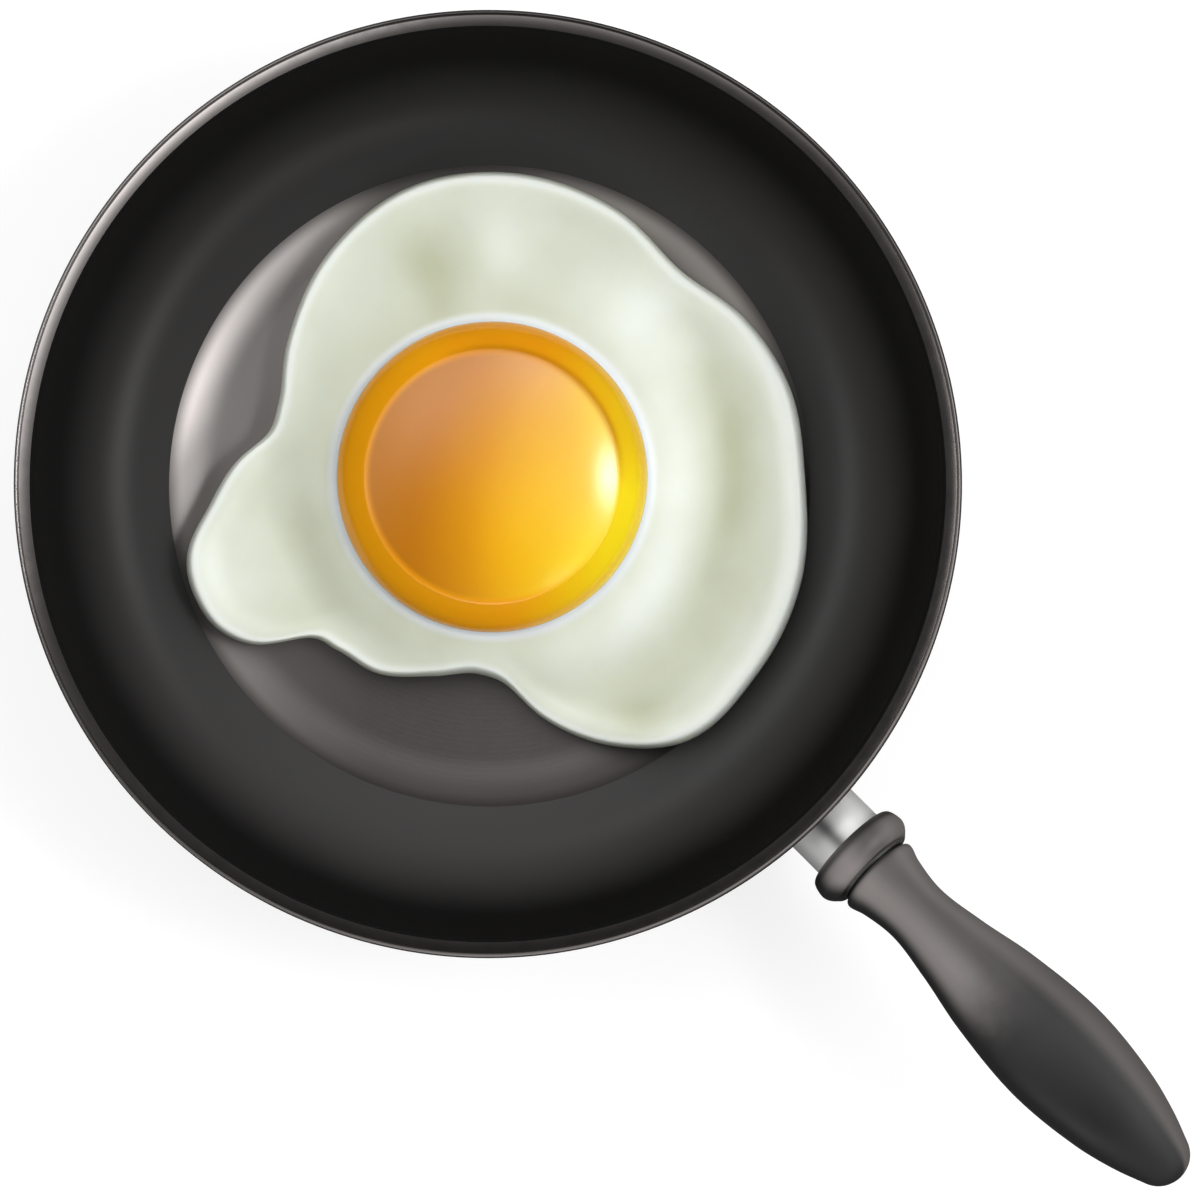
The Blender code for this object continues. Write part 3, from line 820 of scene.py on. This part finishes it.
# ---------------------------------------------------------------- egg white
# The white set where it ran: thick round the yolk, thin beyond, with a swollen, firm edge.
# Thin parts let the dark pan through and look olive; thick parts have set milky. The milky
# share also carries painted light and shade in patches and a painted highlight inside the
# edge, and a painted reflection rings the yolk.

# Heading from the yolk in degrees, then the white's reach and its edge's swelling in mm.
OUTLINE = (
    (8, 49.5, 1.6), (25, 49.0, 1.9), (45, 46.9, 2.0), (62, 46.6, 1.7), (77, 44.8, 1.0),
    (92, 42.0, 0.4), (110, 44.3, 0.4), (133, 45.8, 0.4), (152, 45.2, 0.4), (170, 42.0, 0.3),
    (192, 36.8, 0.3), (206, 34.0, 0.3), (214, 34.4, 0.3), (222, 38.8, 0.4), (231, 42.9, 0.5),
    (239, 47.2, 0.6), (248, 48.1, 0.6), (255, 46.7, 0.5), (260, 43.7, 0.4), (266, 36.7, 0.3),
    (273, 34.9, 0.3), (284, 34.2, 0.3), (298, 31.2, 0.3), (311, 29.6, 0.3), (319, 31.3, 0.3),
    (327, 37.0, 0.5), (340, 44.6, 0.9), (350, 48.8, 1.3),
)
# Heading in degrees, then the thick white's reach and half the length of its slope in mm.
THICK_EDGE = (
    (10, 30.5, 6.0), (45, 30.5, 6.5), (75, 32.0, 7.0), (95, 34.0, 7.5), (135, 34.0, 8.5),
    (180, 31.0, 7.0), (220, 29.5, 5.5), (270, 28.5, 5.0), (310, 29.5, 5.5), (340, 30.5, 6.0),
)
# Heading in degrees, then a swelling's distance, length round the yolk, width and height in
# mm, and how much milkier it looks, part set white and part painted light and shade.
SWELLS = (
    (47, 26.5, 20.0, 4.5, 0.2, 0.44),
    (92, 33.0, 8.0, 5.5, 0.4, 0.54),
    (3, 29.8, 10.0, 4.2, 0.2, 0.44),
    (337, 28.5, 5.0, 3.5, 0.1, 0.20),
    (47, 35.7, 18.0, 3.8, -0.4, -0.36),
    (12, 38.0, 10.0, 5.0, -0.3, -0.08),
    (346, 42.5, 6.0, 4.5, 0.0, -0.40),
    (245, 41.0, 8.0, 7.0, 0.5, 0.26),
    (245, 29.0, 9.0, 3.0, -0.3, -0.16),
    (165, 36.0, 20.0, 7.0, 0.2, 0.10),
    (133, 36.0, 4.2, 6.0, 0.2, 0.28),
    (151, 32.5, 5.0, 6.5, -0.2, -0.50),
    (160, 26.0, 16.0, 4.0, 0.0, -0.10),
    (210, 27.5, 10.0, 4.0, 0.0, -0.05),
    (285, 29.0, 12.0, 6.0, 0.0, -0.08),
)
THIN_HEIGHT = 4.2 * MM
THICK_HEIGHT = 6.8 * MM
THIN_MILK = 0.42
BEAD_INSET = 2.2 * MM
BEAD_WIDTH = 2.8 * MM
BEAD_MILK_AND_LIGHT = 0.36
WHITE_EDGE_HIGHLIGHT_INSET = 1.1 * MM
WHITE_EDGE_HIGHLIGHT_WIDTH = 0.8 * MM
WHITE_EDGE_HIGHLIGHT = 0.5
EDGE_HEIGHT = 1.5 * MM
EDGE_TUCK = 1.2 * MM
EDGE_ROUNDNESS = 0.20
CONTACT_RISE = 1.0 * MM
CONTACT_WIDTH = 0.8 * MM
CONTACT_GRIP = 0.03 * MM
WHITE_SIDES = 420
UNDER_STEPS = 6
TUCK_STEPS = 6
TOP_STEPS = 72
HOLLOW_STEPS = 6
REST_GAP = 0.3 * MM
UNEVENNESS = 0.25 * MM
UNEVEN_SIZE = 9.0 * MM
CALM_REACH = 4.0 * MM
MILK_UNEVENNESS = 0.08
CLOUD_SIZE = 6.0 * MM
TOP_EVENNESS = 0.45


def closed_smooth_curve(at, values, query):
    """A smooth closed curve through values at headings in degrees."""
    at = np.concatenate((at[-2:] - 360.0, at, at[:2] + 360.0))
    values = np.concatenate((values[-2:], values, values[:2]))
    query = (np.asarray(query) - at[2]) % 360.0 + at[2]
    span = np.diff(at)
    rise = np.diff(values) / span
    slope = np.zeros_like(values)
    slope[1:-1] = (rise[:-1] * span[1:] + rise[1:] * span[:-1]) / (span[1:] + span[:-1])
    return hermite(at, values, slope, query)


def around_yolk(table, heading):
    """The columns of a table of headings and sizes, read at one heading on smooth closed curves."""
    at, *columns = np.array(table, dtype=float).T
    return [float(closed_smooth_curve(at, column * MM, heading)) for column in columns]


def ease(share):
    share = min(max(share, 0.0), 1.0)
    return share * share * (3 - 2 * share)


def soft_noise(x, y, size, seed):
    return noise.noise(Vector((x / size, y / size, seed)))


class WhiteSpoke:
    """The cut face of the white at one heading from the yolk's centre."""

    def __init__(self, heading):
        self.heading = heading
        self.spoke = heading_vector(heading)
        self.reach, self.bead = around_yolk(OUTLINE, heading)
        self.side, self.half_length = around_yolk(THICK_EDGE, heading)

    def rest_level(self, radius):
        away = (YOLK_CENTRE + self.spoke * radius).length
        return float(np.interp(away, [p.x for p in INSIDE], [p.y for p in INSIDE])) + REST_GAP

    def body(self, radius):
        """The thickness before the edge is rounded, and how milky the white looks, painted light
        and shade included.
        """
        from_edge = self.reach - radius
        thick = ease((self.side + self.half_length - radius) / (2 * self.half_length))
        bead = self.bead * math.exp(-(((from_edge - BEAD_INSET) / BEAD_WIDTH) ** 2))
        thickness = THIN_HEIGHT + (THICK_HEIGHT - THIN_HEIGHT) * thick + bead * (1 - thick)
        milk_and_light = THIN_MILK + BEAD_MILK_AND_LIGHT * bead / MM
        # Painted highlight: a lighter line just inside the edge.
        milk_and_light += WHITE_EDGE_HIGHLIGHT * math.exp(-(((from_edge - WHITE_EDGE_HIGHLIGHT_INSET) / WHITE_EDGE_HIGHLIGHT_WIDTH) ** 2))
        for heading, distance, length, width, swell, cloud in SWELLS:
            turn = (self.heading - heading + 180.0) % 360.0 - 180.0
            along = math.radians(turn) * distance / length
            across = (radius / MM - distance) / width
            share = math.exp(-along * along - across * across)
            thickness += swell * MM * share
            milk_and_light += cloud * share
        place = self.spoke * radius
        calm = min(from_edge / CALM_REACH, 1.0)
        thickness += UNEVENNESS * calm * soft_noise(place.x, place.y, UNEVEN_SIZE, 3.7)
        milk_and_light += MILK_UNEVENNESS * soft_noise(place.x, place.y, CLOUD_SIZE, 8.1)
        return thickness, milk_and_light

    def height(self, radius):
        thickness, _ = self.body(radius)
        inside = min((self.reach - radius) / (EDGE_ROUNDNESS * thickness), 1.0)
        height = EDGE_HEIGHT + (thickness - EDGE_HEIGHT) * math.sqrt(1 - (1 - inside) ** 2)
        return height + CONTACT_RISE * math.exp(-(radius - YOLK_RADIUS) / CONTACT_WIDTH)

    def outline(self):
        """Radius and height of points from the middle of the underside round to the yolk."""
        foot = self.reach - EDGE_TUCK
        points = []
        for step in range(UNDER_STEPS + 1):
            radius = foot * (step / UNDER_STEPS) ** 0.6
            points.append((radius, self.rest_level(radius)))
        for step in range(1, TUCK_STEPS + 1):
            angle = math.pi / 2 * step / TUCK_STEPS
            rise = (EDGE_HEIGHT - REST_GAP) * (1 - math.cos(angle))
            points.append((foot + EDGE_TUCK * math.sin(angle), self.rest_level(foot) + rise))
        brim = YOLK_RADIUS - CONTACT_GRIP
        for step in range(1, TOP_STEPS + 1):
            even = step / TOP_STEPS
            closer_at_edge = 1 - math.cos(math.pi / 2 * even)
            share = TOP_EVENNESS * even + (1 - TOP_EVENNESS) * closer_at_edge
            radius = self.reach + (brim - self.reach) * share
            level = self.rest_level(min(radius, foot)) - REST_GAP
            points.append((radius, level + self.height(radius)))
        for step in range(1, HOLLOW_STEPS + 1):
            angle = math.pi / 2 * step / HOLLOW_STEPS
            radius = brim * math.cos(angle) if step < HOLLOW_STEPS else 0.0
            points.append((radius, equator - (YOLK_DEPTH + REST_GAP / 3) * math.sin(angle)))
        return points

    def section(self):
        """The cut face's points in space, each with its milkiness and painted light."""
        section = []
        for radius, height in self.outline():
            _, milk_and_light = self.body(min(radius, self.reach))
            section.append(((*(YOLK_CENTRE + self.spoke * radius), height), milk_and_light))
        return section


sections = [WhiteSpoke(360.0 * side / WHITE_SIDES).section() for side in range(WHITE_SIDES)]
white_mesh = wrapped(
    WHITE_SIDES, len(sections[0]) - 1,
    place=lambda column, row: sections[column][row][0],
    mark=lambda column, row: sections[column][row][1],
)

CLEAR_TONE = (0.535, 0.56, 0.39)
MILKY_TONE = (0.90, 0.95, 0.875)
MENISCUS_REFLECTION = (0.90, 0.95, 0.985)

white_finish = new_finish("cooked_white")
milk_and_light = white_finish.node("ShaderNodeAttribute", {"attribute_name": "mark"}, output="Fac")
white_cloud = white_finish.grain(5 * MM, detail=4.0, roughness=0.55)
white_skin = white_finish.grain(0.9 * MM, detail=3.0, roughness=0.6)
from_yolk = distance_from_axis(white_finish, YOLK_CENTRE)
meniscus_reflection = 1.0 - from_yolk.rise(YOLK_RADIUS + 0.6 * MM, YOLK_RADIUS + 1.9 * MM)
# Milkiness, with painted light and shade in it.
white_tone = white_finish.mix(milk_and_light + (white_cloud - 0.5) * 0.15, CLEAR_TONE, MILKY_TONE)
white_finish.wear({
    # Painted reflection: a pale bluish ring round the yolk.
    "Base Color": white_finish.mix(meniscus_reflection * 0.8, white_tone, MENISCUS_REFLECTION),
    "Roughness": white_cloud * 0.10 + 0.36,
    "Subsurface Weight": 0.3,
    "Subsurface Radius": (1.0, 0.9, 0.65),
    "Subsurface Scale": 1.5 * MM,
    "Normal": white_finish.relief(white_skin, 0.006 * MM),
})
add_piece("white", white_mesh, white_finish.owner, "egg_white", crease=75.0)

# ---------------------------------------------------------------- studio
# A pale sheet to stand on, in a dim room with soft lamps: a small bright one at the view's
# right with a broad one behind it, a broad one at the upper left, and faint ones round about.

VIEW_TURN = 45.0
FRAME_WIDTH = 177.0 * MM
CAMERA_DISTANCE = 1.5
SENSOR = 36.0
VIEW_CENTRE = Vector((23.8 * MM, -0.4 * MM))
ROOM_GLOW = 0.06
HORIZON_GLOW = 0.24
SHEET_REACH = 12.0
SHEET_GAP = 0.2 * MM
SHEET_TONE = (0.12, 0.12, 0.12)
SHEET_TONE_SEEN = (0.36, 0.36, 0.36)
SHEET_GLOW = (0.0, 0.0, 0.0)
SHEET_GLOW_SEEN = (0.74, 0.74, 0.74)
# Heading in the view, angle from straight above, half-length and half-width in degrees, and
# radiance.
LAMPS = (
    (1.0, 40.5, 8.5, 4.2, 25.0),
    (0.0, 54.0, 24.0, 15.0, 3.4),
    (135.0, 36.0, 28.0, 18.0, 2.45),
    (186.0, 54.0, 14.0, 10.0, 1.4),
    (68.0, 43.0, 15.0, 14.0, 2.4),
    (-56.0, 43.0, 7.0, 4.0, 2.2),
    (-90.0, 64.0, 22.0, 11.0, 2.4),
    (228.0, 76.0, 14.0, 5.0, 2.5),
    (50.0, 78.0, 14.0, 6.0, 1.4),
)

room = Finish(bpy.data.worlds.new("room"), "Generated")


def along_room(axis):
    """How far the view into the room points along an axis, from -1 to 1."""
    settings = {"operation": "DOT_PRODUCT"}
    return room.node("ShaderNodeVectorMath", settings, {0: room.place, 1: axis}, "Value")


def lamp(heading, tilt, half_length, half_width, radiance):
    """A soft lamp by its heading in the view and its angle from straight above, in degrees."""
    heading = heading_vector(VIEW_TURN + heading)
    tilted = heading_vector(tilt)
    aim = Vector((heading.x * tilted.y, heading.y * tilted.y, tilted.x))
    across = Vector((-heading.y, heading.x, 0.0))
    sideways = along_room(across) / math.sin(math.radians(half_length))
    upward = along_room(aim.cross(across)) / math.sin(math.radians(half_width))
    spread = sideways * sideways + upward * upward
    return (spread * -1.0).power_of_e() * along_room(aim).rise(0.0, 0.3) * radiance


low_in_the_room = 1.0 - along_room(Vector((0.0, 0.0, 1.0))).rise(0.45, 0.75)
room_light = ROOM_GLOW + low_in_the_room * HORIZON_GLOW + sum(lamp(*settings) for settings in LAMPS)
seen = room.node("ShaderNodeLightPath", output="Is Camera Ray")
room.feed(room.tree.nodes["Background"].inputs["Strength"], room_light * (1.0 - seen) + seen)
room.feed(room.tree.nodes["Background"].inputs["Color"], (1.0, 1.0, 1.0))
bpy.context.scene.world = room.owner
bpy.context.scene.view_settings.view_transform = "Standard"

sheet_mesh = bmesh.new()
bmesh.ops.create_grid(sheet_mesh, x_segments=1, y_segments=1, size=SHEET_REACH)
bmesh.ops.translate(sheet_mesh, verts=sheet_mesh.verts, vec=(0.0, 0.0, -SHEET_GAP))
sheet_data = bpy.data.meshes.new("sheet")
sheet_mesh.to_mesh(sheet_data)
sheet_mesh.free()
sheet_finish = new_finish("pale_sheet")
sheet_seen = sheet_finish.node("ShaderNodeLightPath", output="Is Camera Ray")
sheet_finish.wear({
    "Base Color": sheet_finish.mix(sheet_seen, SHEET_TONE, SHEET_TONE_SEEN),
    "Roughness": 0.9,
    "Specular IOR Level": 0.0,
    "Emission Color": sheet_finish.mix(sheet_seen, SHEET_GLOW, SHEET_GLOW_SEEN),
    "Emission Strength": 1.0,
})
sheet_data.materials.append(sheet_finish.owner)
sheet = bpy.data.objects.new("sheet", sheet_data)
bpy.context.scene.collection.objects.link(sheet)

camera_data = bpy.data.cameras.new("camera")
camera_data.sensor_width = SENSOR
camera_data.lens = SENSOR * CAMERA_DISTANCE / FRAME_WIDTH
camera = bpy.data.objects.new("camera", camera_data)
camera.location = (*VIEW_CENTRE, RIM_HEIGHT + CAMERA_DISTANCE)
camera.rotation_euler = (0.0, 0.0, math.radians(VIEW_TURN))
bpy.context.scene.collection.objects.link(camera)
bpy.context.scene.camera = camera
